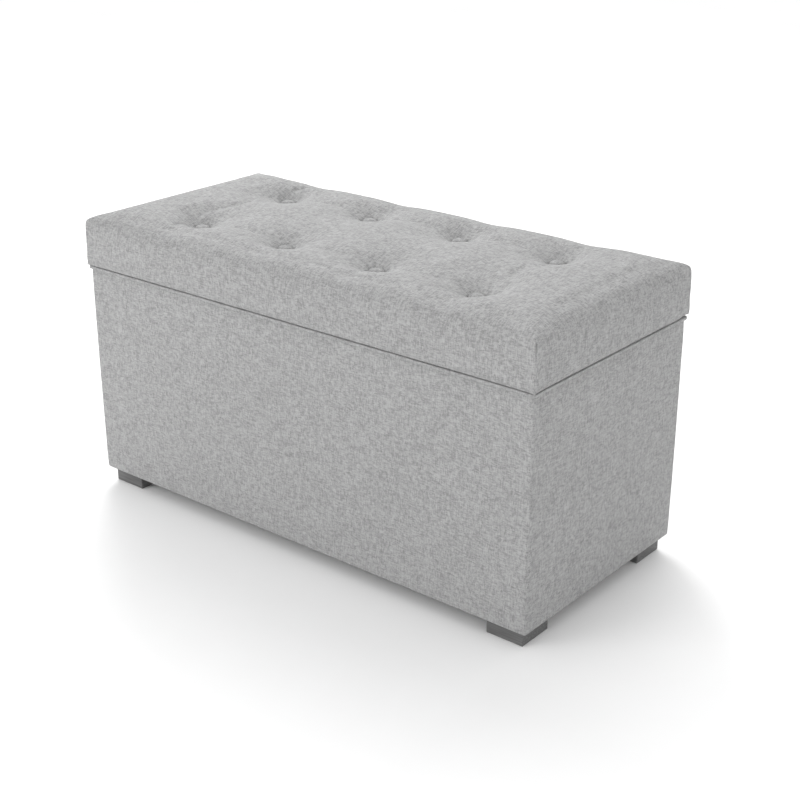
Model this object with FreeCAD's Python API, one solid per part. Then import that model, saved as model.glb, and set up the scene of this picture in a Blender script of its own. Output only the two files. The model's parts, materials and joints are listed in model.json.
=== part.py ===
import FreeCAD, Part
import math
import os

# An upholstered storage bench: a padded, fabric-covered plywood box on four low block feet, closed
# by a button-tufted cushion lid that swings up on three butt hinges and is held by two soft-close
# stays. Millimetres. X runs left to right, Y front to back, Z up, and the origin is on the floor
# under the middle of the box.

# Overall sizes, over the fabric
box_length = 906.0
box_depth = 406.0
rim_height = 398.5
foot_height = 27.0
cushion_height = 90.5  # lid's underside to the crown of the cushion
cushion_overhang = 4.0

# Cloth, padding and boards
cloth = 1.0
wall_padding = 5.0
wall_board = 15.0
liner = 1.0
base_board = 9.0
lid_board = 12.0
batting = 5.0
box_corner_radius = 8.0
cushion_top_radius = 28.0
cover_under_lap = 1.0  # the cover is turned under this far past the wall
cover_turn_in = 40.0
lid_under_wrap = 25.0
lid_edge_setback = 1.5  # the lid's lower edge stands this far inside the box's face
panel_fit = 0.5  # play round a loose panel

# Frame under the base
batten_width = 25.0
batten_height = 20.0
corner_block = 55.0

# Feet
foot_width = 65.0
foot_setback = 11.0
foot_chamfer = 1.0
foot_screw_spread = 11.5  # screw to foot centre, along both X and Y
counterbore_radius = 5.5
counterbore_depth = 9.0

# Tufting
tuft_columns = 4
tuft_pitch = 188.0
tuft_row_gap = 206.0
tuft_depth = 18.0
tuft_mouth_radius = 40.0
tuft_floor_radius = 14.0
button_radius = 12.0
button_rim = 2.5
button_dome = 3.5
cord_radius = 1.0
cord_clearance = 0.1
toggle_radius = 6.0
toggle_thickness = 2.5
toggle_recess = 3.0
toggle_clearance = 1.0

# Welt round the lid's lower edge
welt_radius = 2.5
welt_stand_off = 1.0  # welt's centre line outside the box's face
welt_flange = 12.0
welt_tape = 0.5
welt_headroom = 0.1
welt_rear_return = 24.0

# Hinges
hinge_pitch = 300.0
hinge_length = 70.0
hinge_leaf_width = 22.0
leaf_thickness = 1.4
leaf_gap = 0.2
knuckle_radius = 3.0
knuckle_count = 5
knuckle_gap = 0.3
knuckle_setback = 0.5
knuckle_headroom = 1.3
hinge_pin_radius = 1.5
pin_head_radius = 2.3
pin_head_height = 1.0
hinge_screw_pitch = 25.0
running_fit = 0.05

# Soft-close stays: each is a parallelogram on the hinge axis, a lid pivot, an elbow and a box pivot
stay_reach = 130.0  # hinge axis to lid pivot, forwards
stay_drop = 11.0  # and downwards
stay_pivot_forward = 80.0  # hinge axis to box pivot, forwards
stay_pivot_down = 90.0  # and downwards
stay_bar = 2.5
stay_bar_width = 16.0
stay_pivot_radius = 3.0
stay_rivet_radius = 5.5
stay_rivet_head = 1.5
stay_side_clearance = 0.3
stay_bar_gap = 0.5
elbow_clearance = 0.3  # the link's loose hole at the elbow
bracket_plate = 2.0
box_bracket_width = 36.0
box_bracket_height = 62.0
box_bracket_screw = 25.0  # screw to pivot, up and down
damper_radius = 18.0
damper_thickness = 8.0
lid_bracket_length = 40.0
lid_bracket_screw = 13.0  # screw to pivot, fore and aft
lid_bracket_screw_inset = 12.7  # screw to the ear's outer face
lid_bracket_foot = 20.7
ear_radius = 9.0

# Screws and staples
screw_fit = 0.05


def screw_kind(radius, length, head_radius, head_height, flush):
    """Sizes of one screw; a flush head is countersunk, any other stands on the surface."""
    return {
        "radius": radius,
        "length": length,
        "head_radius": head_radius,
        "head_height": head_height,
        "flush": flush,
    }


carcass_screw = screw_kind(2.0, 40.0, 4.0, 2.0, True)
foot_screw = screw_kind(2.25, 35.0, 4.5, 3.0, False)
hinge_box_screw = screw_kind(1.75, 20.0, 3.1, leaf_thickness, True)
hinge_lid_screw = screw_kind(1.75, 12.0, 3.1, leaf_thickness, True)
stay_screw = screw_kind(1.75, 12.0, 3.2, 2.0, False)
carcass_screw_heights = (52.0, 182.0, 312.0)  # above the box's lower edge
staple_crown = 10.0
staple_wire = 0.6
staple_width = 1.2
staple_leg = 8.0
staple_edge = 8.0
dust_staples_long = 8
dust_staples_short = 3
lid_staples_long = 8

# Derived half-lengths, outside to inside
cover_x = box_length / 2
cover_y = box_depth / 2
padding_x = cover_x - cloth
padding_y = cover_y - cloth
panel_x = padding_x - wall_padding
panel_y = padding_y - wall_padding
inner_x = panel_x - wall_board
inner_y = panel_y - wall_board
liner_x = inner_x - liner
liner_y = inner_y - liner
under_x = inner_x - cover_under_lap
under_y = inner_y - cover_under_lap

# Derived heights
box_bottom = foot_height
panel_bottom = box_bottom + cloth
panel_top = rim_height - cloth
base_bottom = panel_bottom + batten_height
base_top = base_bottom + base_board
turn_in_bottom = panel_top - cover_turn_in

# Hinge axis and lid levels
hinge_y = cover_y + knuckle_setback + knuckle_radius
hinge_z = rim_height + leaf_thickness + leaf_gap / 2
lid_bottom = rim_height + 2 * leaf_thickness + leaf_gap
lid_board_bottom = lid_bottom + cloth
lid_board_top = lid_board_bottom + lid_board
cushion_edge = hinge_z + knuckle_radius + knuckle_headroom
cushion_crown = lid_bottom + cushion_height
cushion_x = cover_x + cushion_overhang
cushion_y = cover_y + cushion_overhang
cushion_corner_radius = box_corner_radius + cushion_overhang
lid_edge_x = cover_x - lid_edge_setback
lid_edge_y = cover_y - lid_edge_setback
lid_edge_corner_radius = box_corner_radius - lid_edge_setback
hinge_screw_y = inner_y + wall_board / 2

# Stay pivots in the YZ plane
lid_pivot = (hinge_y - stay_reach, hinge_z - stay_drop)
box_pivot = (hinge_y - stay_pivot_forward, hinge_z - stay_pivot_down)
elbow = (box_pivot[0] - stay_reach, box_pivot[1] - stay_drop)

# Stay layers, from the wall inwards
bracket_inner = liner_x - bracket_plate
damper_inner = bracket_inner - damper_thickness
arm_outer = damper_inner - stay_side_clearance
arm_inner = arm_outer - stay_bar
link_outer = arm_inner - stay_bar_gap
link_inner = link_outer - stay_bar
ear_inner = arm_outer - bracket_plate

TUFTS = [
    ((column - (tuft_columns - 1) / 2) * tuft_pitch, row * tuft_row_gap / 2)
    for row in (-1, 1)
    for column in range(tuft_columns)
]
HINGES = {"left": -hinge_pitch, "middle": 0.0, "right": hinge_pitch}
SIDES = {"left": -1, "right": 1}


def block(x0, x1, y0, y1, z0, z1):
    """A square-edged block between two corners, given in any order."""
    corner = FreeCAD.Vector(min(x0, x1), min(y0, y1), min(z0, z1))
    return Part.makeBox(abs(x1 - x0), abs(y1 - y0), abs(z1 - z0), corner)


def centred_block(half_x, half_y, z0, z1):
    return block(-half_x, half_x, -half_y, half_y, z0, z1)


def rod(radius, start, direction, length):
    return Part.makeCylinder(radius, length, FreeCAD.Vector(*start), FreeCAD.Vector(*direction))


def rounded_outline(half_x, half_y, radius, z):
    """A closed rectangle with round corners, as a wire at height z."""
    edges = []
    corners = [(1, -1, -90), (1, 1, 0), (-1, 1, 90), (-1, -1, 180)]
    points = []
    for sign_x, sign_y, start in corners:
        centre = FreeCAD.Vector(sign_x * (half_x - radius), sign_y * (half_y - radius), z)
        arc = Part.Circle(centre, FreeCAD.Vector(0, 0, 1), radius)
        edge = arc.toShape(math.radians(start), math.radians(start + 90))
        points.append((edge.valueAt(edge.FirstParameter), edge.valueAt(edge.LastParameter), edge))
    for index, (first, last, edge) in enumerate(points):
        following = points[(index + 1) % len(points)][0]
        edges.append(edge)
        edges.append(Part.makeLine(last, following))
    return Part.Wire(edges)


def rounded_block(half_x, half_y, radius, z0, z1):
    face = Part.Face(rounded_outline(half_x, half_y, radius, z0))
    return face.extrude(FreeCAD.Vector(0, 0, z1 - z0))


def along(start, direction, distance):
    """The point at a distance from start along a unit direction."""
    return tuple(start[i] + distance * direction[i] for i in range(3))


def screw(kind, at, direction, fit=0.0):
    """A screw with its head's seat at a point, or with a fit, the hole that it goes in."""
    radius = kind["radius"] + fit
    shank = rod(radius, at, direction, kind["length"])
    if kind["flush"]:
        axis = FreeCAD.Vector(*direction)
        head = Part.makeCone(
            kind["head_radius"] + fit, radius, kind["head_height"], FreeCAD.Vector(*at), axis
        )
        return shank.fuse(head).removeSplitter()
    if fit:
        return shank
    head_start = along(at, direction, -kind["head_height"])
    head = rod(kind["head_radius"], head_start, direction, kind["head_height"])
    return shank.fuse(head).removeSplitter()


def cut_all(shape, tools):
    return shape.cut(Part.makeCompound(tools)) if tools else shape


# Where the screws go: each list holds a seat point and a direction


def carcass_screw_places():
    middle = inner_x + wall_board / 2
    return [
        ((sign_x * middle, sign_y * panel_y, box_bottom + height), (0, -sign_y, 0))
        for sign_x in (-1, 1)
        for sign_y in (-1, 1)
        for height in carcass_screw_heights
    ]


def foot_centre(sign_x, sign_y):
    reach = foot_setback + foot_width / 2
    return sign_x * (cover_x - reach), sign_y * (cover_y - reach)


def foot_screw_places(sign_x, sign_y):
    x, y = foot_centre(sign_x, sign_y)
    shifts = (-foot_screw_spread, foot_screw_spread)
    return [((x + sign_x * s, y + sign_y * s, counterbore_depth), (0, 0, 1)) for s in shifts]


def all_foot_screw_places():
    return [place for sx in (-1, 1) for sy in (-1, 1) for place in foot_screw_places(sx, sy)]


def hinge_screw_places(z, direction):
    offsets = (-hinge_screw_pitch, 0.0, hinge_screw_pitch)
    return [
        ((x + offset, hinge_screw_y, z), (0, 0, direction))
        for x in HINGES.values()
        for offset in offsets
    ]


def box_leaf_screw_places():
    return hinge_screw_places(rim_height + leaf_thickness, -1)


def lid_leaf_screw_places():
    return hinge_screw_places(lid_bottom - leaf_thickness, 1)


def stay_box_screw_places(side):
    y, z = box_pivot
    shifts = (-box_bracket_screw, box_bracket_screw)
    return [((side * bracket_inner, y, z + shift), (side, 0, 0)) for shift in shifts]


def stay_lid_screw_places(side):
    x = side * (arm_outer - lid_bracket_screw_inset)
    shifts = (-lid_bracket_screw, lid_bracket_screw)
    z = lid_bottom - bracket_plate
    return [((x, lid_pivot[0] + shift, z), (0, 0, 1)) for shift in shifts]


def screws(kind, places):
    return Part.makeCompound([screw(kind, at, direction) for at, direction in places])


def holes(kind, places):
    return [screw(kind, at, direction, screw_fit) for at, direction in places]


def both_sides(places):
    return [place for side in SIDES.values() for place in places(side)]


# The box


def long_panel(side):
    """The front or back board, which runs the full length."""
    panel = block(-panel_x, panel_x, side * inner_y, side * panel_y, panel_bottom, panel_top)
    tools = holes(carcass_screw, carcass_screw_places())
    tools += holes(hinge_box_screw, box_leaf_screw_places())
    return cut_all(panel, tools)


def end_panel(side):
    """A side board, held between the two long ones."""
    panel = block(side * inner_x, side * panel_x, -inner_y, inner_y, panel_bottom, panel_top)
    tools = holes(carcass_screw, carcass_screw_places())
    tools += holes(stay_screw, stay_box_screw_places(side))
    return cut_all(panel, tools)


def base_battens():
    top = base_bottom
    edge_x = inner_x - batten_width
    edge_y = inner_y - batten_width
    battens = []
    for side in (-1, 1):
        battens.append(block(-inner_x, inner_x, side * edge_y, side * inner_y, panel_bottom, top))
        battens.append(block(side * edge_x, side * inner_x, -edge_y, edge_y, panel_bottom, top))
    tools = holes(foot_screw, all_foot_screw_places())
    return Part.makeCompound([cut_all(batten, tools) for batten in battens])


def corner_blocks():
    edge_x = inner_x - batten_width
    edge_y = inner_y - batten_width
    tools = holes(foot_screw, all_foot_screw_places())
    blocks = []
    for sx in (-1, 1):
        for sy in (-1, 1):
            far_x = sx * (edge_x - corner_block)
            far_y = sy * (edge_y - corner_block)
            shape = block(sx * edge_x, far_x, sy * edge_y, far_y, panel_bottom, base_bottom)
            blocks.append(cut_all(shape, tools))
    return Part.makeCompound(blocks)


def base_panel():
    return centred_block(inner_x - panel_fit, inner_y - panel_fit, base_bottom, base_top)


def box_padding():
    """Four foam sheets round the outside of the boards; the long ones turn the corners."""
    radius = box_corner_radius - cloth
    outer = rounded_block(padding_x, padding_y, radius, panel_bottom, panel_top)
    span = padding_x + wall_padding
    sheets = []
    for side in (-1, 1):
        reach_y = side * (padding_y + wall_padding)
        reach_x = side * (padding_x + wall_padding)
        front = block(-span, span, side * panel_y, reach_y, panel_bottom, panel_top)
        end = block(side * panel_x, reach_x, -panel_y, panel_y, panel_bottom, panel_top)
        sheets.append(outer.common(front))
        sheets.append(outer.common(end))
    return Part.makeCompound(sheets)


def box_cover():
    """The fabric: up the outside, over the rim and down inside, and turned under below."""
    outer = rounded_block(cover_x, cover_y, box_corner_radius, box_bottom, rim_height)
    inner_radius = box_corner_radius - cloth
    outer = outer.cut(rounded_block(padding_x, padding_y, inner_radius, panel_bottom, panel_top))
    mouth = centred_block(liner_x, liner_y, panel_top - cloth, rim_height + cloth)
    below = centred_block(under_x, under_y, box_bottom - cloth, panel_bottom + cloth)
    turn_in = centred_block(inner_x, inner_y, turn_in_bottom, panel_top)
    turn_in = turn_in.cut(centred_block(liner_x, liner_y, turn_in_bottom, panel_top))
    shape = outer.cut(mouth).cut(below).fuse(turn_in).removeSplitter()
    return cut_all(shape, holes(hinge_box_screw, box_leaf_screw_places()))


def box_lining():
    """The lining of the storage space: a tray of cloth-covered card on the base and walls."""
    outer = centred_block(inner_x, inner_y, base_top, turn_in_bottom)
    tray = outer.cut(centred_block(liner_x, liner_y, base_top + liner, turn_in_bottom))
    return cut_all(tray, holes(stay_screw, both_sides(stay_box_screw_places)))


def dust_cover():
    sheet = centred_block(under_x - panel_fit, under_y - panel_fit, box_bottom, panel_bottom)
    return cut_all(sheet, holes(foot_screw, all_foot_screw_places()))


def staple(x, y, surface, up, turned):
    """A wire staple whose crown lies on a surface and whose legs go in, up or down."""
    long_half = staple_crown / 2
    half_width = staple_width / 2
    tip = surface + up * staple_leg
    parts = [block(-long_half, long_half, -half_width, half_width, surface - up * staple_wire, surface)]
    for side in (-1, 1):
        inside = side * (long_half - staple_wire)
        parts.append(block(inside, side * long_half, -half_width, half_width, surface, tip))
    shape = parts[0].multiFuse(parts[1:]).removeSplitter()
    if turned:
        shape.rotate(FreeCAD.Vector(0, 0, 0), FreeCAD.Vector(0, 0, 1), 90)
    shape.translate(FreeCAD.Vector(x, y, 0))
    return shape


def spread(count, half_span):
    """Evenly spaced places between the two ends of a span."""
    return [half_span * (2 * index / (count - 1) - 1) for index in range(count)]


def dust_cover_staples():
    edge_x = under_x - panel_fit - staple_edge
    edge_y = under_y - panel_fit - staple_edge
    clear_x = cover_x - foot_setback - foot_width - staple_crown
    clear_y = cover_y - foot_setback - foot_width - staple_crown
    staples = []
    for side in (-1, 1):
        for x in spread(dust_staples_long, clear_x):
            staples.append(staple(x, side * edge_y, box_bottom, 1, False))
        for y in spread(dust_staples_short, clear_y):
            staples.append(staple(side * edge_x, y, box_bottom, 1, True))
    return Part.makeCompound(staples)


def foot(sign_x, sign_y):
    x, y = foot_centre(sign_x, sign_y)
    half = foot_width / 2
    shape = block(x - half, x + half, y - half, y + half, 0, foot_height)
    shape = shape.makeChamfer(foot_chamfer, shape.Edges)
    tools = holes(foot_screw, foot_screw_places(sign_x, sign_y))
    for (hole_x, hole_y, seat), _ in foot_screw_places(sign_x, sign_y):
        tools.append(rod(counterbore_radius, (hole_x, hole_y, 0), (0, 0, 1), seat))
    return cut_all(shape, tools)


# The hinges


def hinge_leaf(middle_x, bottom, top, knuckles):
    """One leaf: a plate, short of the other leaf's knuckles, with its own knuckles on the axis."""
    start = middle_x - hinge_length / 2
    pitch = hinge_length / knuckle_count
    plate_edge = hinge_y - knuckle_radius - knuckle_gap
    shape = block(start, start + hinge_length, hinge_y - hinge_leaf_width, plate_edge, bottom, top)
    for index in knuckles:
        left = start + index * pitch + knuckle_gap / 2
        width = pitch - knuckle_gap
        shape = shape.fuse(rod(knuckle_radius, (left, hinge_y, hinge_z), (1, 0, 0), width))
        shape = shape.fuse(block(left, left + width, plate_edge, hinge_y, bottom, top))
    bore_radius = hinge_pin_radius + running_fit
    bore = rod(bore_radius, (start, hinge_y, hinge_z), (1, 0, 0), hinge_length)
    return shape.cut(bore).removeSplitter()


def hinge_box_leaf(middle_x):
    knuckles = range(0, knuckle_count, 2)
    leaf = hinge_leaf(middle_x, rim_height, rim_height + leaf_thickness, knuckles)
    return cut_all(leaf, holes(hinge_box_screw, box_leaf_screw_places()))


def hinge_lid_leaf(middle_x):
    knuckles = range(1, knuckle_count, 2)
    leaf = hinge_leaf(middle_x, lid_bottom - leaf_thickness, lid_bottom, knuckles)
    return cut_all(leaf, holes(hinge_lid_screw, lid_leaf_screw_places()))


def hinge_pins():
    length = hinge_length - knuckle_gap
    pins = []
    for middle_x in HINGES.values():
        start = middle_x - length / 2
        shape = rod(hinge_pin_radius, (start, hinge_y, hinge_z), (1, 0, 0), length)
        for head_start in (start - pin_head_height, start + length):
            head = rod(pin_head_radius, (head_start, hinge_y, hinge_z), (1, 0, 0), pin_head_height)
            shape = shape.fuse(head)
        pins.append(shape.removeSplitter())
    return Part.makeCompound(pins)


# The lid


def round_top_edge(shape, half_x, half_y, top, radius):
    """Rounds the four top edges, which meet in a mitre at each corner."""
    margin = 1.0
    reach_x = half_x + margin
    reach_y = half_y + margin
    low = top - radius
    for side in (-1, 1):
        middle_x = side * (half_x - radius)
        bar = block(middle_x, side * reach_x, -reach_y, reach_y, low, top + margin)
        core = rod(radius, (middle_x, -reach_y, low), (0, 1, 0), 2 * reach_y)
        shape = shape.cut(bar.cut(core))
        middle_y = side * (half_y - radius)
        bar = block(-reach_x, reach_x, middle_y, side * reach_y, low, top + margin)
        core = rod(radius, (-reach_x, middle_y, low), (1, 0, 0), 2 * reach_x)
        shape = shape.cut(bar.cut(core))
    return shape


def cushion_form(inset, bottom):
    """The cushion's outer form drawn in by an inset: round-edged on top, with tufting pockets."""
    half_x = cushion_x - inset
    half_y = cushion_y - inset
    top = cushion_crown - inset
    form = rounded_block(half_x, half_y, cushion_corner_radius - inset, bottom, top)
    form = round_top_edge(form, half_x, half_y, top, cushion_top_radius - inset)
    slope = (tuft_mouth_radius - tuft_floor_radius) / tuft_depth
    floor = top - tuft_depth
    pockets = [
        Part.makeCone(
            tuft_floor_radius,
            tuft_mouth_radius + slope,
            tuft_depth + 1,
            FreeCAD.Vector(x, y, floor),
        )
        for x, y in TUFTS
    ]
    return cut_all(form, pockets)


def lid_edge_form(inset, bottom, top):
    """The lid's set-back lower edge, drawn in by an inset."""
    radius = lid_edge_corner_radius - inset
    return rounded_block(lid_edge_x - inset, lid_edge_y - inset, radius, bottom, top)


def cord_holes():
    radius = cord_radius + cord_clearance
    length = cushion_crown - lid_board_bottom
    return [rod(radius, (x, y, lid_board_bottom), (0, 0, 1), length) for x, y in TUFTS]


def lid_board_shape():
    shape = lid_edge_form(cloth, lid_board_bottom, lid_board_top)
    radius = toggle_radius + toggle_clearance
    recesses = [rod(radius, (x, y, lid_board_bottom), (0, 0, 1), toggle_recess) for x, y in TUFTS]
    tools = recesses + cord_holes()
    tools += holes(hinge_lid_screw, lid_leaf_screw_places())
    tools += holes(stay_screw, both_sides(stay_lid_screw_places))
    return cut_all(shape, tools)


def lid_foam():
    return cut_all(cushion_form(cloth + batting, lid_board_top), cord_holes())


def lid_core_form():
    """All that the lid's cover holds: board, foam and batting."""
    edge = lid_edge_form(cloth, lid_board_bottom, cushion_edge + cloth)
    return edge.fuse(cushion_form(cloth, cushion_edge + cloth)).removeSplitter()


def lid_batting():
    board = lid_edge_form(cloth, lid_board_bottom, lid_board_top)
    shape = lid_core_form().cut(board).cut(cushion_form(cloth + batting, lid_board_top))
    return cut_all(shape, cord_holes())


def lid_cover():
    edge = lid_edge_form(0, lid_bottom, cushion_edge)
    shape = edge.fuse(cushion_form(0, cushion_edge)).removeSplitter()
    shape = shape.cut(lid_core_form())
    half_x = lid_edge_x - lid_under_wrap
    half_y = lid_edge_y - lid_under_wrap
    shape = shape.cut(centred_block(half_x, half_y, lid_bottom, lid_board_bottom))
    return cut_all(shape, cord_holes() + holes(hinge_lid_screw, lid_leaf_screw_places()))


def lid_lining():
    half_x = lid_edge_x - lid_under_wrap - panel_fit
    half_y = lid_edge_y - lid_under_wrap - panel_fit
    sheet = centred_block(half_x, half_y, lid_bottom, lid_board_bottom)
    return cut_all(sheet, holes(stay_screw, both_sides(stay_lid_screw_places)))


def lid_lining_staples():
    edge_x = lid_edge_x - lid_under_wrap - panel_fit - staple_edge
    edge_y = lid_edge_y - lid_under_wrap - panel_fit - staple_edge
    staples = []
    for x in spread(lid_staples_long, edge_x - staple_edge):
        for side in (-1, 1):
            staples.append(staple(x, side * edge_y, lid_bottom, 1, False))
    for side in (-1, 1):
        for y in (-lid_pivot[0], 0.0):
            staples.append(staple(side * edge_x, y, lid_bottom, 1, True))
    return Part.makeCompound(staples)


def lid_welt():
    """Piping round the front, sides and rear corners, sewn to a flat tape under the lid."""
    half_x = cover_x + welt_stand_off
    half_y = cover_y + welt_stand_off
    radius = box_corner_radius + welt_stand_off
    z = cushion_edge - welt_headroom - welt_radius
    open_x = half_x - welt_rear_return
    bow = radius * math.sin(math.radians(45))
    right_x = half_x - radius
    rear_y = half_y - radius

    def corner(sign_x, sign_y, reverse):
        """A quarter turn from the end to the long side, or the other way round."""
        points = [
            FreeCAD.Vector(sign_x * half_x, sign_y * rear_y, z),
            FreeCAD.Vector(sign_x * (right_x + bow), sign_y * (rear_y + bow), z),
            FreeCAD.Vector(sign_x * right_x, sign_y * half_y, z),
        ]
        if reverse:
            points.reverse()
        return Part.Arc(*points).toShape()

    def run(x0, y0, x1, y1):
        return Part.makeLine(FreeCAD.Vector(x0, y0, z), FreeCAD.Vector(x1, y1, z))

    path = Part.Wire(
        [
            run(open_x, half_y, right_x, half_y),
            corner(1, 1, True),
            run(half_x, rear_y, half_x, -rear_y),
            corner(1, -1, False),
            run(right_x, -half_y, -right_x, -half_y),
            corner(-1, -1, True),
            run(-half_x, -rear_y, -half_x, rear_y),
            corner(-1, 1, False),
            run(-right_x, half_y, -open_x, half_y),
        ]
    )
    start = FreeCAD.Vector(open_x, half_y, z)
    section = Part.Face(Part.Wire(Part.makeCircle(welt_radius, start, FreeCAD.Vector(1, 0, 0))))
    piping = path.makePipe(section)
    tape_bottom = lid_bottom - welt_tape
    tape = rounded_block(cover_x, cover_y, box_corner_radius, tape_bottom, lid_bottom)
    inner = centred_block(cover_x - welt_flange, cover_y - welt_flange, tape_bottom, lid_bottom)
    rear = block(-open_x, open_x, 0, 2 * cover_y, tape_bottom, lid_bottom)
    return piping.fuse(tape.cut(inner).cut(rear)).removeSplitter()


def tuft_buttons():
    """Domed, fabric-covered buttons on the floors of the tufting pockets."""
    floor = cushion_crown - tuft_depth
    bend = (button_radius**2 + button_dome**2) / (2 * button_dome)
    buttons = []
    for x, y in TUFTS:
        rim_top = floor + button_rim
        body = rod(button_radius, (x, y, floor), (0, 0, 1), button_rim + button_dome)
        centre = FreeCAD.Vector(x, y, rim_top + button_dome - bend)
        buttons.append(body.common(Part.makeSphere(bend, centre)))
    return Part.makeCompound(buttons)


def tuft_cords():
    bottom = lid_board_bottom + toggle_recess
    length = cushion_crown - tuft_depth - bottom
    cords = [rod(cord_radius, (x, y, bottom), (0, 0, 1), length) for x, y in TUFTS]
    return Part.makeCompound(cords)


def tuft_toggles():
    bottom = lid_board_bottom + toggle_recess - toggle_thickness
    toggles = [rod(toggle_radius, (x, y, bottom), (0, 0, 1), toggle_thickness) for x, y in TUFTS]
    return Part.makeCompound(toggles)


# The stays


def stay_box_bracket(side):
    y, z = box_pivot
    half_y = box_bracket_width / 2
    half_z = box_bracket_height / 2
    outer = side * liner_x
    plate = block(outer, side * bracket_inner, y - half_y, y + half_y, z - half_z, z + half_z)
    tools = holes(stay_screw, stay_box_screw_places(side))
    pivot_hole = stay_pivot_radius + running_fit
    tools.append(rod(pivot_hole, (outer, y, z), (-side, 0, 0), bracket_plate))
    return cut_all(plate, tools)


def stay_damper(side):
    """The round damper housing, bored for the pivot."""
    start = (side * bracket_inner, *box_pivot)
    housing = rod(damper_radius, start, (-side, 0, 0), damper_thickness)
    bore = rod(stay_pivot_radius + running_fit, start, (-side, 0, 0), damper_thickness)
    return housing.cut(bore)


def stay_box_pivot(side):
    """The arm's shaft: riveted behind the bracket's face and headed inside the arm."""
    tip = arm_inner - stay_side_clearance
    start = (side * liner_x, *box_pivot)
    shaft = rod(stay_pivot_radius, start, (-side, 0, 0), liner_x - tip)
    head = rod(stay_rivet_radius, (side * tip, *box_pivot), (-side, 0, 0), stay_rivet_head)
    return shaft.fuse(head).removeSplitter()


def bar(side, outer, first, last, first_hole, last_hole):
    """A flat bar with round ends between two pivots."""
    dy = last[0] - first[0]
    dz = last[1] - first[1]
    length = math.hypot(dy, dz)
    half = stay_bar_width / 2
    inwards = (-side, 0, 0)
    body = block(side * outer, side * (outer - stay_bar), 0, length, -half, half)
    tilt = math.degrees(math.atan2(dz, dy))
    body.rotate(FreeCAD.Vector(0, 0, 0), FreeCAD.Vector(1, 0, 0), tilt)
    body.translate(FreeCAD.Vector(0, *first))
    for pivot in (first, last):
        body = body.fuse(rod(half, (side * outer, *pivot), inwards, stay_bar))
    for pivot, radius in ((first, first_hole), (last, last_hole)):
        body = body.cut(rod(radius, (side * outer, *pivot), inwards, stay_bar))
    return body.removeSplitter()


def stay_arm(side):
    hole = stay_pivot_radius + running_fit
    return bar(side, arm_outer, box_pivot, elbow, hole, hole)


def stay_link(side):
    """The link's elbow hole is loose, because the linkage is opened there."""
    hole = stay_pivot_radius + running_fit
    return bar(side, link_outer, lid_pivot, elbow, hole, stay_pivot_radius + elbow_clearance)


def rivet(side, outer, inner, pivot):
    """A shaft through a stack of bars, with a head at each end."""
    inwards = (-side, 0, 0)
    shaft = rod(stay_pivot_radius, (side * outer, *pivot), inwards, outer - inner)
    heads = [
        rod(stay_rivet_radius, (side * (outer + stay_rivet_head), *pivot), inwards, stay_rivet_head),
        rod(stay_rivet_radius, (side * inner, *pivot), inwards, stay_rivet_head),
    ]
    return shaft.multiFuse(heads).removeSplitter()


def stay_elbow_rivet(side):
    return rivet(side, arm_outer, link_inner - stay_side_clearance, elbow)


def stay_lid_pivot(side):
    return rivet(side, arm_outer, link_inner - stay_side_clearance, lid_pivot)


def stay_lid_bracket(side):
    """An angle bracket: a foot screwed under the lid, and an ear that hangs to the pivot."""
    y, z = lid_pivot
    half = lid_bracket_length / 2
    foot_bottom = lid_bottom - bracket_plate
    foot_inner = arm_outer - lid_bracket_foot
    inner = side * ear_inner
    plate = block(
        side * arm_outer, side * foot_inner, y - half, y + half, foot_bottom, lid_bottom
    )
    ear = block(side * arm_outer, inner, y - ear_radius, y + ear_radius, z, foot_bottom)
    tip = rod(ear_radius, (side * arm_outer, y, z), (-side, 0, 0), bracket_plate)
    shape = plate.multiFuse([ear, tip])
    tools = holes(stay_screw, stay_lid_screw_places(side))
    pivot_hole = stay_pivot_radius + running_fit
    tools.append(rod(pivot_hole, (side * arm_outer, y, z), (-side, 0, 0), bracket_plate))
    return cut_all(shape, tools).removeSplitter()


# Every node of the bench, by name

nodes = {
    "front_panel": long_panel(-1),
    "back_panel": long_panel(1),
    "base_battens": base_battens(),
    "corner_blocks": corner_blocks(),
    "base_panel": base_panel(),
    "carcass_screws": screws(carcass_screw, carcass_screw_places()),
    "box_padding": box_padding(),
    "box_cover": box_cover(),
    "box_lining": box_lining(),
    "dust_cover": dust_cover(),
    "dust_cover_staples": dust_cover_staples(),
    "foot_screws": screws(foot_screw, all_foot_screw_places()),
    "hinge_pins": hinge_pins(),
    "hinge_box_screws": screws(hinge_box_screw, box_leaf_screw_places()),
    "hinge_lid_screws": screws(hinge_lid_screw, lid_leaf_screw_places()),
    "lid_board": lid_board_shape(),
    "lid_foam": lid_foam(),
    "lid_batting": lid_batting(),
    "lid_cover": lid_cover(),
    "lid_lining": lid_lining(),
    "lid_lining_staples": lid_lining_staples(),
    "lid_welt": lid_welt(),
    "tuft_buttons": tuft_buttons(),
    "tuft_cords": tuft_cords(),
    "tuft_toggles": tuft_toggles(),
    "stay_box_screws": screws(stay_screw, both_sides(stay_box_screw_places)),
    "stay_lid_screws": screws(stay_screw, both_sides(stay_lid_screw_places)),
}
for end_name, end_side in {"front": -1, "rear": 1}.items():
    for side_name, side in SIDES.items():
        nodes[f"{end_name}_{side_name}_foot"] = foot(side, end_side)
for name, middle in HINGES.items():
    nodes[f"{name}_hinge_box_leaf"] = hinge_box_leaf(middle)
    nodes[f"{name}_hinge_lid_leaf"] = hinge_lid_leaf(middle)
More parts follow.
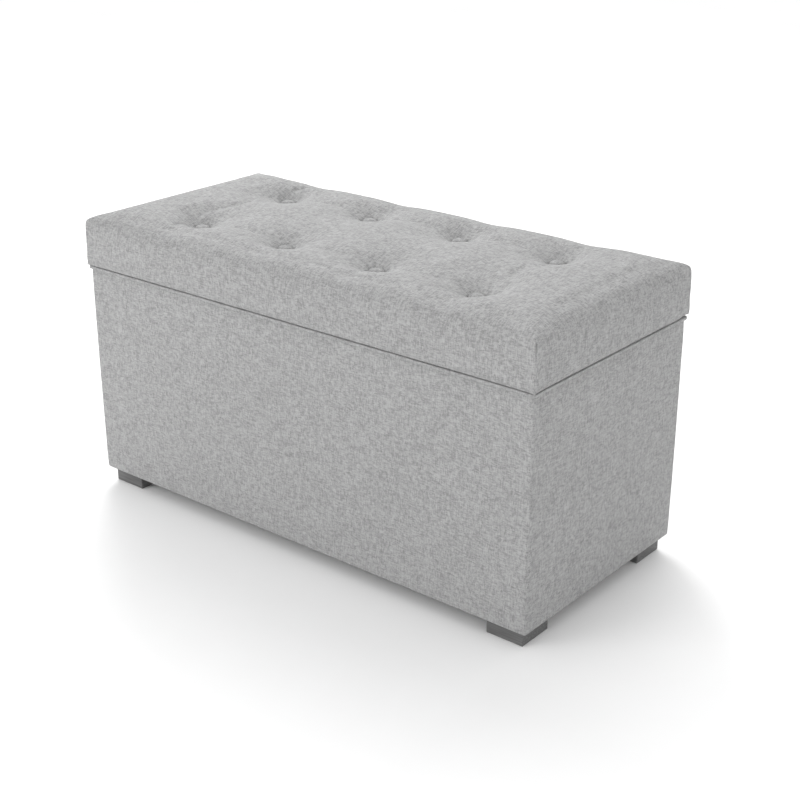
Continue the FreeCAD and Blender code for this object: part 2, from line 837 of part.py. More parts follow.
for name, side in SIDES.items():
    nodes[f"{name}_side_panel"] = end_panel(side)
    nodes[f"{name}_stay_box_bracket"] = stay_box_bracket(side)
    nodes[f"{name}_stay_damper"] = stay_damper(side)
    nodes[f"{name}_stay_box_pivot"] = stay_box_pivot(side)
    nodes[f"{name}_stay_arm"] = stay_arm(side)
    nodes[f"{name}_stay_elbow_rivet"] = stay_elbow_rivet(side)
    nodes[f"{name}_stay_link"] = stay_link(side)
    nodes[f"{name}_stay_lid_bracket"] = stay_lid_bracket(side)
    nodes[f"{name}_stay_lid_pivot"] = stay_lid_pivot(side)

os.makedirs("parts", exist_ok=True)
for name, shape in nodes.items():
    shape.exportStep(f"parts/{name}.step")
print(f"{len(nodes)} nodes written")
print(f"hinge axis y {hinge_y:.1f}, z {hinge_z:.1f}")
print(f"lid pivot {lid_pivot}, box pivot {box_pivot}, elbow {elbow}")
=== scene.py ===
# %% [markdown]
# # A button-tufted storage bench
# This notebook dresses a finished bench: boards, feet, hinges and stays are already made, and stay
# exactly where they are. What is added here is everything that is soft, and the finish of every
# surface. All lengths are in metres, +Z is up, and the bench's front faces -Y.

# %% Load the bench
import json
import math

import bmesh
import bpy
import numpy as np
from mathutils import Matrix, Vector, noise


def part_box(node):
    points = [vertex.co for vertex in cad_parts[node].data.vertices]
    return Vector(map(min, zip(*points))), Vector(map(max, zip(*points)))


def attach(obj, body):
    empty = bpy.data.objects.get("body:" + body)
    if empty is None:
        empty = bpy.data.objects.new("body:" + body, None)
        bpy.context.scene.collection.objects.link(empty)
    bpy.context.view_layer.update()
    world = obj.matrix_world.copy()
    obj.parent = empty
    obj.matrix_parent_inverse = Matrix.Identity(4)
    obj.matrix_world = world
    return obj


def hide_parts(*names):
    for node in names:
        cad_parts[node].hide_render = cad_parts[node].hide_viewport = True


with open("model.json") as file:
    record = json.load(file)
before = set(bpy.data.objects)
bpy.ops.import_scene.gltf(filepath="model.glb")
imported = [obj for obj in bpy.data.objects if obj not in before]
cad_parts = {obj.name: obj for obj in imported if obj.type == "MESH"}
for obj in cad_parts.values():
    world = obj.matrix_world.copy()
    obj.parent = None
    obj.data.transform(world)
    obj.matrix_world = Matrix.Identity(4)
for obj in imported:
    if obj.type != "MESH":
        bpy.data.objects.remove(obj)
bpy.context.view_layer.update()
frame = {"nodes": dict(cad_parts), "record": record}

MM = 0.001
TINY = 1e-6
nodes = frame["nodes"]
scene = bpy.context.scene

# %% [markdown]
# ## Where things are
# Every size below is read from the bench itself, so the soft pieces fit even if the bench changes.
# The lid's cover gives the cushion's length and depth, the welt marks the crease under it, and the
# box's cover gives the size of the body.

# %% Levels and half-lengths
lid_low, lid_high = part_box("lid_cover")
box_low, box_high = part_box("box_cover")
welt_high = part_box("lid_welt")[1]
button_low, button_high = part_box("tuft_buttons")
lining_low, lining_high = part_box("box_lining")
under_low, under_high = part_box("lid_lining")
dust_low, dust_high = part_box("dust_cover")
board_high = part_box("lid_board")[1]
crease_z = welt_high.z + 0.1 * MM
cloth = box_high.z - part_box("front_panel")[1].z
button_radius = 12 * MM
column_pitch = (button_high.x - button_low.x - 2 * button_radius) / 3
row_y = button_high.y - button_radius
tufts = [((column - 1.5) * column_pitch, row * row_y) for row in (-1, 1) for column in range(4)]
print(f"cushion {2 * lid_high.x:.3f} x {2 * lid_high.y:.3f}, crease at {crease_z:.4f}")

# %% [markdown]
# ## Camera
# A long lens from a little above eye level on a seated person shows the front, the right end and
# the tufted top at once. The camera stands on a circle round the bench, so its place is an angle
# round, an angle up and a distance, and it looks at a point just inside the box.

# %% Camera
aim = Vector((0.0289, 0.0332, 0.2054))
turn = math.radians(39.34)
climb = math.radians(22.576)
distance = 2.4325
back = Vector(
    (math.sin(turn) * math.cos(climb), -math.cos(turn) * math.cos(climb), math.sin(climb))
)
bpy.ops.object.camera_add(location=aim + distance * back)
camera = bpy.context.object
camera.rotation_euler = (-back).to_track_quat("-Z", "Y").to_euler()
camera.data.lens = 65.71
camera.data.sensor_width = 36
scene.camera = camera
print("camera at", [round(value, 3) for value in camera.location])

# %% [markdown]
# ## Light and floor
# A pale studio: a wide white floor, an even pale sky all round, a broad soft sun and a panel
# behind on the left, and lower panels at the front left and the right. The light from behind rakes
# over the top, so the far side of each tuft is in soft shade, while the floor and the low panels
# fill the sides.

# %% Floor
bpy.ops.mesh.primitive_plane_add(size=24, location=(0, 0, -0.2 * MM))
floor = bpy.context.object
floor.name = "studio_floor"

# %% Lights
def soft_panel(name, place, size, power):
    """A square area light that faces the bench."""
    bpy.ops.object.light_add(type="AREA", location=place)
    lamp = bpy.context.object
    lamp.name = name
    lamp.rotation_euler = (aim - lamp.location).to_track_quat("-Z", "Y").to_euler()
    lamp.data.size = size
    lamp.data.energy = power
    return lamp


soft_panel("back_left_panel", (-2.2, 1.9, 2.1), 1.5, 56)
soft_panel("front_left_panel", (-1.6, -3.4, 1.7), 2.2, 57)
soft_panel("right_panel", (3.6, -1.0, 1.5), 2.2, 18)
bpy.ops.object.light_add(type="SUN", location=(-2.0, 2.6, 3.0))
sun = bpy.context.object
sun.name = "soft_sun"
sun.rotation_euler = sun.location.to_track_quat("Z", "Y").to_euler()
sun.data.energy = 1.25
sun.data.angle = math.radians(50)
world = bpy.data.worlds.new("studio")
world.use_nodes = True
world.node_tree.nodes["Background"].inputs["Color"].default_value = (1, 1, 1, 1)
world.node_tree.nodes["Background"].inputs["Strength"].default_value = 0.82
scene.world = world
scene.view_settings.view_transform = "Standard"

# %% [markdown]
# ## Working by hand, in code
# The pieces are modelled with the same operators as the menus use. An operator acts on what is
# selected, so these helpers select one object, or only the faces or edges that pass a test on
# their place and direction.

# %% Selecting and editing
def choose(*objects):
    """Selects these objects and no others; the first is the active one."""
    bpy.ops.object.select_all(action="DESELECT")
    for item in objects:
        item.select_set(True)
    bpy.context.view_layer.objects.active = objects[0]


def start_edit(obj):
    choose(obj)
    bpy.ops.object.mode_set(mode="EDIT")


def end_edit():
    bpy.ops.object.mode_set(mode="OBJECT")


def pick(kind, test):
    """In edit mode, selects the faces or edges whose centre and direction pass a test."""
    bpy.ops.mesh.select_mode(type=kind)
    bpy.ops.mesh.select_all(action="DESELECT")
    mesh = bmesh.from_edit_mesh(bpy.context.object.data)
    found = 0
    for item in mesh.faces if kind == "FACE" else mesh.edges:
        if kind == "FACE":
            centre, direction = item.calc_center_median(), item.normal
        else:
            first, second = (vertex.co for vertex in item.verts)
            centre, direction = (first + second) / 2, (second - first).normalized()
        if test(centre, direction):
            item.select_set(True)
            found += 1
    bmesh.update_edit_mesh(bpy.context.object.data)
    return found


def add_block(name, low, high):
    """A cube between two corners, its place already in its mesh."""
    bpy.ops.object.select_all(action="DESELECT")
    middle = (Vector(low) + Vector(high)) / 2
    size = Vector(high) - Vector(low)
    bpy.ops.mesh.primitive_cube_add(size=1, location=middle)
    obj = bpy.context.object
    obj.name = name
    obj.scale = size
    bpy.ops.object.transform_apply(location=True, rotation=True, scale=True)
    return obj


def add_modifier(obj, kind, **settings):
    """Adds a modifier and applies it at once."""
    choose(obj)
    modifier = obj.modifiers.new(kind.lower(), kind)
    for key, value in settings.items():
        setattr(modifier, key, value)
    bpy.ops.object.modifier_apply(modifier=modifier.name)


def smooth(obj, angle=40):
    choose(obj)
    bpy.ops.object.shade_smooth_by_angle(angle=math.radians(angle))


def points_of(obj):
    """The mesh's points as an array of rows."""
    flat = np.empty(len(obj.data.vertices) * 3)
    obj.data.vertices.foreach_get("co", flat)
    return flat.reshape(-1, 3)


def move_points(obj, points):
    obj.data.vertices.foreach_set("co", points.ravel())
    obj.data.update()


def triangles(obj):
    return sum(len(face.vertices) - 2 for face in obj.data.polygons)


# %% [markdown]
# ## Materials: shared effects
# A finish is built from small effects that several materials share: a woven yarn, a felted mat of
# fibres, wood grain, brushed metal and open-cell foam. Each effect is one node group with named
# inputs, and every material that uses it sets its own values. The shader itself stays in the
# material, so that plain numbers such as sheen are set straight on it.

# %% Node helpers
VECTOR, VALUE, COLOR = "NodeSocketVector", "NodeSocketFloat", "NodeSocketColor"


def new_group(name, *settings):
    """A node group that takes a vector, its own number settings and two colours, and gives a
    colour, a height and a roughness. Returns the group and its two end nodes."""
    group = bpy.data.node_groups.new(name, "ShaderNodeTree")
    inputs = [("Vector", VECTOR)] + [(title, VALUE) for title in settings]
    for title, kind in inputs + [("Light", COLOR), ("Dark", COLOR)]:
        group.interface.new_socket(title, in_out="INPUT", socket_type=kind)
    for title, kind in (("Color", COLOR), ("Height", VALUE), ("Roughness", VALUE)):
        group.interface.new_socket(title, in_out="OUTPUT", socket_type=kind)
    return group, group.nodes.new("NodeGroupInput"), group.nodes.new("NodeGroupOutput")


def put(tree, kind, settings=None, **links):
    """Adds a node; settings are its own fields, and links are values or sockets for its inputs."""
    node = tree.nodes.new(kind)
    for key, value in (settings or {}).items():
        setattr(node, key, value)
    for key, value in links.items():
        numbered = key[0] == "i" and key[1:].isdigit()
        socket = node.inputs[int(key[1:]) if numbered else key]
        if isinstance(value, bpy.types.NodeSocket):
            tree.links.new(value, socket)
        else:
            socket.default_value = value
    return node


def calculate(tree, operation, *values):
    """One arithmetic node."""
    links = {f"i{index}": value for index, value in enumerate(values)}
    return put(tree, "ShaderNodeMath", {"operation": operation}, **links).outputs[0]


def stretch(tree, vector, scale):
    """A vector multiplied by a scale on each axis."""
    settings = {"operation": "MULTIPLY"}
    return put(tree, "ShaderNodeVectorMath", settings, i0=vector, i1=scale).outputs[0]


def speckle(tree, vector, detail=2.0, rough=0.5, scale=1.0):
    """Smooth noise from 0 to 1."""
    inputs = {"Vector": vector, "Detail": detail, "Roughness": rough, "Scale": scale}
    return put(tree, "ShaderNodeTexNoise", None, **inputs).outputs["Fac"]


def spread_out(tree, value, low, high, to_low=0.0, to_high=1.0):
    """Maps a range of values on to another, and holds it at the ends."""
    ends = {"From Min": low, "From Max": high, "To Min": to_low, "To Max": to_high}
    return put(tree, "ShaderNodeMapRange", None, Value=value, **ends).outputs["Result"]


def sized(tree, vector, size):
    """A vector counted in steps of a size."""
    scale = calculate(tree, "DIVIDE", 1.0, size)
    place = put(tree, "ShaderNodeVectorMath", {"operation": "SCALE"}, i0=vector, Scale=scale)
    return place.outputs[0]


def shares(tree, first, first_share, second, second_share):
    """A weighted sum of two values."""
    first = calculate(tree, "MULTIPLY", first, first_share)
    return calculate(tree, "ADD", first, calculate(tree, "MULTIPLY", second, second_share))


def tint(tree, factor, entry):
    """From the effect's dark colour to its light one."""
    node = put(tree, "ShaderNodeMix", {"data_type": "RGBA"}, i0=factor)
    tree.links.new(entry.outputs["Dark"], node.inputs[6])
    tree.links.new(entry.outputs["Light"], node.inputs[7])
    return node.outputs[2]


def hand_over(tree, leave, color, height, roughness):
    """Links the three results of an effect."""
    for title, socket in (("Color", color), ("Height", height), ("Roughness", roughness)):
        tree.links.new(socket, leave.inputs[title])


# %% [markdown]
# ### Woven yarn
# Linen-look upholstery cloth is a plain weave: each yarn goes over one and under the next. Its
# yarns are uneven, with long thick slubs, and each is spun from light and dark fibres, which gives
# the heathered grey. The cloth could be an image, but here it is worked out: a checkerboard says
# which yarn is on top, noise stretched along each yarn gives the slubs, and a rounded profile
# across each yarn gives the height.

# %% Woven yarn group
def make_weave():
    g, entry, leave = new_group("woven_yarn", "Yarns per metre", "Heather", "Slubs", "Clouds")
    vector = entry.outputs["Vector"]
    count = entry.outputs["Yarns per metre"]
    wander = speckle(g, stretch(g, vector, (35, 35, 0)), 1.0)
    wander = calculate(g, "MULTIPLY", wander, 0.004)
    parts = put(g, "ShaderNodeSeparateXYZ", None, Vector=vector)
    across = calculate(g, "ADD", parts.outputs["X"], wander)
    up = calculate(g, "ADD", parts.outputs["Y"], wander)
    yarn_x = calculate(g, "MULTIPLY", across, count)
    yarn_y = calculate(g, "MULTIPLY", up, count)
    place = put(g, "ShaderNodeCombineXYZ", None, X=yarn_x, Y=yarn_y, Z=0.5).outputs[0]

    def streaks(wide, long, seed, detail):
        """Noise stretched along the upright yarns, and the same along the level ones."""
        warp = put(g, "ShaderNodeVectorMath", {"operation": "MULTIPLY_ADD"}, i0=place)
        warp.inputs[1].default_value = (1 / wide, 1 / long, 1)
        warp.inputs[2].default_value = (0, 0, seed)
        weft = put(g, "ShaderNodeVectorMath", {"operation": "MULTIPLY_ADD"}, i0=place)
        weft.inputs[1].default_value = (1 / long, 1 / wide, 1)
        weft.inputs[2].default_value = (0, 0, seed + 30)
        return speckle(g, warp.outputs[0], detail), speckle(g, weft.outputs[0], detail)

    over = put(g, "ShaderNodeTexChecker", None, Vector=place, Scale=1.0).outputs["Fac"]
    warp, weft = streaks(1.1, 5.5, 3.0, 3.0)
    yarn = put(g, "ShaderNodeMix", None, i0=over, i2=warp, i3=weft).outputs[0]
    warp, weft = streaks(1.9, 7.5, 11.0, 2.0)
    slub = calculate(g, "ADD", warp, weft)
    warp, weft = streaks(7, 16, 23.0, 2.0)
    cloud = calculate(g, "ADD", warp, weft)

    def weighed(value, middle, weight):
        away = calculate(g, "SUBTRACT", value, middle)
        return calculate(g, "MULTIPLY", away, weight)

    tone = weighed(yarn, 0.5, entry.outputs["Heather"])
    tone = calculate(g, "ADD", tone, weighed(slub, 1.0, entry.outputs["Slubs"]))
    tone = calculate(g, "ADD", tone, weighed(cloud, 1.0, entry.outputs["Clouds"]))
    tone = calculate(g, "ADD", tone, 0.5)
    factor = spread_out(g, tone, 0.0, 1.0)
    color = tint(g, factor, entry)

    def rounded(value):
        """The round profile of yarns side by side."""
        angle = calculate(g, "MULTIPLY", value, math.pi)
        return calculate(g, "ABSOLUTE", calculate(g, "SINE", angle))

    round_x = rounded(yarn_x)
    round_y = rounded(yarn_y)
    rise = put(g, "ShaderNodeMix", None, i0=over, i2=round_x, i3=round_y).outputs[0]
    dip = calculate(g, "MULTIPLY", calculate(g, "MULTIPLY", round_x, round_y), 0.5)
    height = calculate(g, "ADD", calculate(g, "MULTIPLY", rise, 0.5), dip)
    height = calculate(g, "ADD", height, calculate(g, "MULTIPLY", factor, 1.2))
    hand_over(g, leave, color, height, spread_out(g, factor, 0.2, 0.8, 0.95, 0.8))
    return g


weave_group = make_weave()
print("weave group:", len(weave_group.nodes), "nodes")

# %% [markdown]
# ### Felted fibres, wood grain, brushed metal and foam
# Needle-punched lining, dust cloth and wadding are mats of loose fibres: fine noise, with longer
# streaks. Wood grain is noise stretched along the board, with darker pores. Plated steel has fine
# directional scratches and a slightly cloudy colour. Foam is a field of small round cells.

# %% Felt group
def make_felt():
    g, entry, leave = new_group("felted_fibres", "Fibre size")
    place = sized(g, entry.outputs["Vector"], entry.outputs["Fibre size"])
    fine = speckle(g, place, 4.0, 0.7)
    streak_x = speckle(g, stretch(g, place, (0.12, 1, 0.6)), 3.0, 0.6)
    streak_y = speckle(g, stretch(g, place, (1, 0.15, 0.6)), 3.0, 0.6)
    mat = shares(g, fine, 0.55, calculate(g, "MAXIMUM", streak_x, streak_y), 0.45)
    color = tint(g, spread_out(g, mat, 0.38, 0.68), entry)
    hand_over(g, leave, color, mat, spread_out(g, mat, 0.35, 0.7, 1.0, 0.85))
    return g


felt_group = make_felt()

# %% Grain group
def make_grain():
    g, entry, leave = new_group("wood_grain", "Pore size", "Figure")
    vector = entry.outputs["Vector"]
    place = sized(g, vector, entry.outputs["Pore size"])
    pores = speckle(g, stretch(g, place, (0.03, 1, 1)), 4.0, 0.65)
    rings = speckle(g, stretch(g, vector, (3, 55, 55)), 3.0, 0.55)
    rings = calculate(g, "FRACT", calculate(g, "MULTIPLY", rings, 7.0))
    rings = calculate(g, "PINGPONG", calculate(g, "MULTIPLY", rings, 2.0), 1.0)
    figure = calculate(g, "MULTIPLY", rings, entry.outputs["Figure"])
    tone = shares(g, pores, 0.8, figure, 0.2)
    color = tint(g, spread_out(g, tone, 0.3, 0.72), entry)
    hand_over(g, leave, color, pores, spread_out(g, tone, 0.3, 0.7, 0.62, 0.42))
    return g


grain_group = make_grain()

# %% Metal group
def make_metal():
    g, entry, leave = new_group("plated_metal")
    cloud = speckle(g, stretch(g, entry.outputs["Vector"], (140, 140, 140)), 3.0, 0.6)
    lines = speckle(g, stretch(g, entry.outputs["Vector"], (120, 2600, 2600)), 3.0, 0.6)
    tone = shares(g, cloud, 0.6, lines, 0.4)
    color = tint(g, spread_out(g, tone, 0.3, 0.7), entry)
    hand_over(g, leave, color, lines, spread_out(g, tone, 0.3, 0.7, 0.48, 0.26))
    return g


metal_group = make_metal()

# %% Cell group
def make_cells():
    g, entry, leave = new_group("open_cells", "Cell size")
    place = sized(g, entry.outputs["Vector"], entry.outputs["Cell size"])
    cells = put(g, "ShaderNodeTexVoronoi", None, Vector=place, Scale=1.0).outputs["Distance"]
    grime = speckle(g, stretch(g, entry.outputs["Vector"], (60, 60, 60)), 3.0, 0.6)
    tone = shares(g, cells, 0.7, grime, 0.3)
    color = tint(g, spread_out(g, tone, 0.2, 0.8), entry)
    hand_over(g, leave, color, cells, spread_out(g, tone, 0.2, 0.8, 0.95, 0.75))
    return g


cell_group = make_cells()
print("effects:", [group.name for group in bpy.data.node_groups])

# %% [markdown]
# ## Materials: the finishes
# Each finish places one effect, feeds its colour and roughness to the shader, and its height to a
# bump. The cloths read the piece's own map, whose unit is a metre, so that the yarns follow the
# surface over edges; everything rigid reads its place on the object.

# %% One finish
CLOTH_MAP = "cloth"


def finish(name, group, values, bump, depth, mapped=False, **constants):
    """A material from one effect: values go to the effect, constants to the shader."""
    material = bpy.data.materials.new(name)
    material.use_nodes = True
    tree = material.node_tree
    shader = tree.nodes["Principled BSDF"]
    if mapped:
        source = put(tree, "ShaderNodeUVMap", {"uv_map": CLOTH_MAP}).outputs["UV"]
    else:
        source = put(tree, "ShaderNodeTexCoord").outputs["Object"]
    effect = tree.nodes.new("ShaderNodeGroup")
    effect.node_tree = group
    tree.links.new(source, effect.inputs["Vector"])
    for title, value in values.items():
        effect.inputs[title].default_value = value
    tree.links.new(effect.outputs["Color"], shader.inputs["Base Color"])
    tree.links.new(effect.outputs["Roughness"], shader.inputs["Roughness"])
    relief = put(tree, "ShaderNodeBump", None, Height=effect.outputs["Height"])
    relief.inputs["Strength"].default_value = bump
    relief.inputs["Distance"].default_value = depth
    tree.links.new(relief.outputs["Normal"], shader.inputs["Normal"])
    for title, value in constants.items():
        shader.inputs[title.replace("_", " ")].default_value = value
    return material


def grey(value, warmth=0.0):
    """A neutral colour, or a slightly warm one."""
    return (value * (1 + warmth), value, value * (1 - warmth), 1)


# %% Cloth finishes
heather = {
    "Yarns per metre": 950.0,
    "Heather": 2.7,
    "Slubs": 1.25,
    "Clouds": 0.32,
    "Light": grey(0.442),
    "Dark": grey(0.238),
}
cover_cloth = finish(
    "cover_cloth", weave_group, heather, 0.6, 0.5 * MM, mapped=True, Sheen_Weight=0.1,
    Sheen_Roughness=0.5, Specular_IOR_Level=0.2,
)
lining_felt = finish(
    "lining_felt",
    felt_group,
    {"Fibre size": 0.0016, "Light": grey(0.052), "Dark": grey(0.022)},
    0.6, 0.5 * MM, Sheen_Weight=0.15, Specular_IOR_Level=0.15,
)
dust_felt = finish(
    "dust_felt",
    felt_group,
    {"Fibre size": 0.0011, "Light": grey(0.030), "Dark": grey(0.012)},
    0.5, 0.3 * MM, Specular_IOR_Level=0.2,
)
wadding_felt = finish(
    "wadding_felt",
    felt_group,
    {"Fibre size": 0.0030, "Light": grey(0.86), "Dark": grey(0.62)},
    0.7, 1.0 * MM, Specular_IOR_Level=0.1,
)
twine_felt = finish(
    "twine_felt",
    felt_group,
    {"Fibre size": 0.0006, "Light": grey(0.62, 0.10), "Dark": grey(0.34, 0.12)},
    0.7, 0.3 * MM, Specular_IOR_Level=0.2,
)

# %% Wood, metal, plastic and foam finishes
foot_wood = finish(
    "foot_wood",
    grain_group,
    {"Pore size": 0.0016, "Figure": 0.8, "Light": grey(0.165), "Dark": grey(0.082)},
    0.45, 0.4 * MM, Specular_IOR_Level=0.35,
)


def raw_wood(name, pore, light, dark):
    values = {"Pore size": pore, "Figure": 1.0, "Light": (*light, 1), "Dark": (*dark, 1)}
    return finish(name, grain_group, values, 0.4, 0.3 * MM)


def metal(name, bump, depth, light, dark):
    values = {"Light": (*light, 1), "Dark": (*dark, 1)}
    return finish(name, metal_group, values, bump, depth, Metallic=1.0)


plywood = raw_wood("plywood", 0.0012, (0.62, 0.44, 0.26), (0.42, 0.27, 0.14))
pine = raw_wood("pine", 0.0020, (0.70, 0.50, 0.29), (0.50, 0.31, 0.15))
zinc = metal("zinc", 0.15, 0.05 * MM, (0.66, 0.67, 0.70), (0.42, 0.43, 0.46))
yellow_zinc = metal("yellow_zinc", 0.15, 0.05 * MM, (0.74, 0.60, 0.30), (0.50, 0.38, 0.20))
staple_wire = metal("staple_wire", 0.1, 0.03 * MM, (0.72, 0.72, 0.72), (0.50, 0.50, 0.51))
nylon = finish(
    "nylon",
    cell_group,
    {"Cell size": 0.0009, "Light": grey(0.045), "Dark": grey(0.032)},
    0.12, 0.05 * MM, Specular_IOR_Level=0.45,
)
foam = finish(
    "foam",
    cell_group,
    {"Cell size": 0.0012, "Light": (0.80, 0.76, 0.60, 1), "Dark": (0.58, 0.52, 0.36, 1)},
    0.5, 0.4 * MM, Specular_IOR_Level=0.1,
)
studio_white = finish(
    "studio_white",
    felt_group,
    {"Fibre size": 0.4, "Light": grey(0.92), "Dark": grey(0.90)},
    0.02, 0.2 * MM, Specular_IOR_Level=0.1,
)
floor.data.materials.append(studio_white)

# %% Finishes on the rigid nodes
slot_finish = {
    "plywood": plywood,
    "pine": pine,
    "foot_wood": foot_wood,
    "cover_fabric": cover_cloth,
    "trim_fabric": cover_cloth,
    "lining_cloth": lining_felt,
    "dust_cloth": dust_felt,
    "foam": foam,
    "wadding": wadding_felt,
    "twine": twine_felt,
    "nylon": nylon,
    "staple_wire": staple_wire,
    "zinc_steel": zinc,
    "yellow_zinc_steel": yellow_zinc,
}
for part in frame["record"]["subparts"]:
    node = nodes[part["node"]]
    node.data.materials.clear()
    node.data.materials.append(slot_finish[part["material_slot"]])
print("finishes placed on", len(nodes), "nodes")

# %% [markdown]
# ## A map for the cloth
# Yarns have to run true round corners and over edges, so each cloth piece gets a map in metres.
# The map is the cloth laid flat: a point's place across is its place along the bench, and its
# place up is how far it is from the middle over the top and down the side. It is worked out face
# by face, because where two flaps meet at a corner the yarns on each side of the seam differ.

# %% Laying cloth flat
def map_cloth(obj, layout):
    """Gives each face its places on the flat cloth, in metres; layout takes a place and normal."""
    layer = obj.data.uv_layers.new(name=CLOTH_MAP)
    for face in obj.data.polygons:
        for loop in face.loop_indices:
            place = obj.data.vertices[obj.data.loops[loop].vertex_index].co
            layer.data[loop].uv = layout(place, face.normal)


def round_edge(place, depth, half, radius):
    """How far a place is from the middle, measured along a face and round its rounded edge.
    The depth is how far the place is below the face."""
    flat = half - radius
    beyond = abs(place) - flat
    if beyond <= 0:
        return place
    if depth > radius:
        return math.copysign(flat + radius * math.pi / 2 + depth - radius, place)
    return math.copysign(flat + radius * math.atan2(beyond, radius - depth), place)


def lay_box(place, normal):
    """For small or flat pieces: straight through, along the axis the face looks along."""
    x, y, z = place
    if abs(normal.z) > max(abs(normal.x), abs(normal.y)):
        return x, y
    if abs(normal.y) > abs(normal.x):
        return x, z
    return y, z


# %% [markdown]
# ## The cushion
# The lid's seat is a slab of foam under a wadding layer, covered with one cloth that is sewn at
# the four corners, pulled down by eight buttons and stapled under the board. It could be sculpted
# by hand, but cloth under pressure finds the puffs and pulls by itself. So a plain slab with
# rounded edges is remeshed evenly, its corners are sharpened and the tufts pressed in, and it is
# simulated as an inflated cloth. How far each point may then move is capped, because the foam
# behind the real cloth keeps the sides nearly flat.

# %% Cushion blank
swell = 0.4 * MM
edge_radius = 28 * MM
edge_top = lid_high.z + 0.5 * MM
blank_low = Vector((lid_low.x + swell, lid_low.y + swell, crease_z + 0.3 * MM))
blank_high = Vector((lid_high.x - swell, lid_high.y - swell, edge_top))
cushion = add_block("lid_cushion", blank_low, blank_high)
start_edit(cushion)
pick("EDGE", lambda c, d: c.z > blank_high.z - 1e-5 and abs(d.z) < 0.1)
bpy.ops.mesh.bevel(offset=edge_radius, segments=9, profile=0.5)
pick("EDGE", lambda c, d: c.z < blank_low.z + 1e-5 and abs(d.z) < 0.1)
bpy.ops.mesh.bevel(offset=3 * MM, segments=2, profile=0.5)
end_edit()
print("blank:", triangles(cushion), "triangles")

# %% Even mesh
cushion.data.remesh_voxel_size = 4.4 * MM
choose(cushion)
bpy.ops.object.voxel_remesh()
print("remeshed:", len(cushion.data.vertices), "points")

# %% [markdown]
# ### Sharper corners
# Along its sides the cushion's top edge is well rounded, but at the corners the sewn cover holds
# it to a point. A rounded edge stays rounded when it is scaled about the sharp edge it came from,
# only with a smaller radius, so the distances from the sides and from the top are scaled down near
# the corners, and stretched back further in. The seam also holds each corner a little lower than
# the sides, and along the front and the ends the side comes down to meet the welt.

# %% Sharpening the corners
corner_share = 0.46
corner_drop = 6.5 * MM
side_drop = crease_z - lid_low.z


def ease(value):
    """A smooth step from 0 to 1."""
    value = np.clip(value, 0, 1)
    return value * value * (3 - 2 * value)


def draw_to_edge(gap, share):
    """Scales distances up to the edge radius, and returns to none at twice the radius."""
    outer = gap * share
    inner = edge_radius * share + (gap - edge_radius) * (2 - share)
    return np.where(gap < edge_radius, outer, np.where(gap < 2 * edge_radius, inner, gap))


def sharpen_corners(obj):
    points = points_of(obj)
    gap_x = blank_high.x - np.abs(points[:, 0])
    gap_y = blank_high.y - np.abs(points[:, 1])
    gap_z = blank_high.z - points[:, 2]
    along = np.maximum(gap_x, gap_y)
    share = corner_share + (1 - corner_share) * ease((along - 6 * MM) / (84 * MM))
    points[:, 0] = np.sign(points[:, 0]) * (blank_high.x - draw_to_edge(gap_x, share))
    points[:, 1] = np.sign(points[:, 1]) * (blank_high.y - draw_to_edge(gap_y, share))
    points[:, 2] = blank_high.z - draw_to_edge(gap_z, share)
    near_corner = 1 - ease(along / 0.10)
    near_edge = 1 - ease((np.minimum(gap_x, gap_y) - 10 * MM) / 0.06)
    height = ease((points[:, 2] - blank_low.z - 30 * MM) / (50 * MM))
    points[:, 2] -= corner_drop * near_corner * near_edge * height
    low = 1 - ease((points[:, 2] - blank_low.z) / (20 * MM))
    low *= 1 - ease((np.minimum(gap_x, gap_y) - 3 * MM) / (3 * MM))
    points[:, 2] -= side_drop * low * ease((lid_high.y - 12 * MM - points[:, 1]) / (20 * MM))
    move_points(obj, points)


sharpen_corners(cushion)

# %% [markdown]
# ### Tufts
# Each button pulls a wide shallow dimple with a narrow mouth. Between two buttons of a row the
# cloth is drawn into a soft valley, and a fainter one runs from each button to the long edge.
# Between them the wadding stands up in rounded puffs.

# %% Pressing the tufts in
row_end = tufts[-1][0]
tuft_floor = button_low.z - 4 * MM
crown_height = 2 * MM


def tuft_gap(points):
    """How far each place is from the nearest button's middle."""
    return np.min([np.hypot(points[:, 0] - x, points[:, 1] - y) for x, y in tufts], axis=0)


def tuft_pull(points):
    """How far the tufting pulls the top down, from 0 on a puff to 1 under a button."""
    x, y = points[:, 0], points[:, 1]
    outside = np.maximum(tuft_gap(points) - 11 * MM, 0)
    dimple = 0.62 * np.exp(-((outside / (37 * MM)) ** 2)) + 0.38 * np.exp(-outside / (9 * MM))
    aside = np.min([np.abs(x - tuft_x) for tuft_x, _ in tufts], axis=0)
    across = np.abs(np.abs(y) - row_y)
    crease = 0.60 * np.exp(-aside / (38 * MM)) * np.exp(-((across / (14 * MM)) ** 2))
    within = ease((row_end + 15 * MM - np.abs(x)) / (20 * MM))
    valley = 0.27 * within * np.exp(-((across / (24 * MM)) ** 2))
    behind = ease((np.abs(y) - row_y) / (20 * MM) + 0.5)
    run = 0.15 * behind * np.exp(-((aside / (34 * MM)) ** 2))
    return np.max([dimple, crease, valley, run], axis=0)


def press_tufts(obj):
    points = points_of(obj)
    x, y, z = points.T
    on_top = ease((z - edge_top + edge_radius) / (18 * MM))
    inside = np.minimum(lid_high.x - np.abs(x), lid_high.y - np.abs(y))
    crown = crown_height * ease((inside - 8 * MM) / (70 * MM))
    depth = (edge_top + crown_height - tuft_floor) * tuft_pull(points)
    depth *= ease(inside / (40 * MM) + 0.25)
    points[:, 2] = z + on_top * (crown - depth)
    move_points(obj, points)


press_tufts(cushion)
print("pressed:", points_of(cushion).min(0).round(4), points_of(cushion).max(0).round(4))

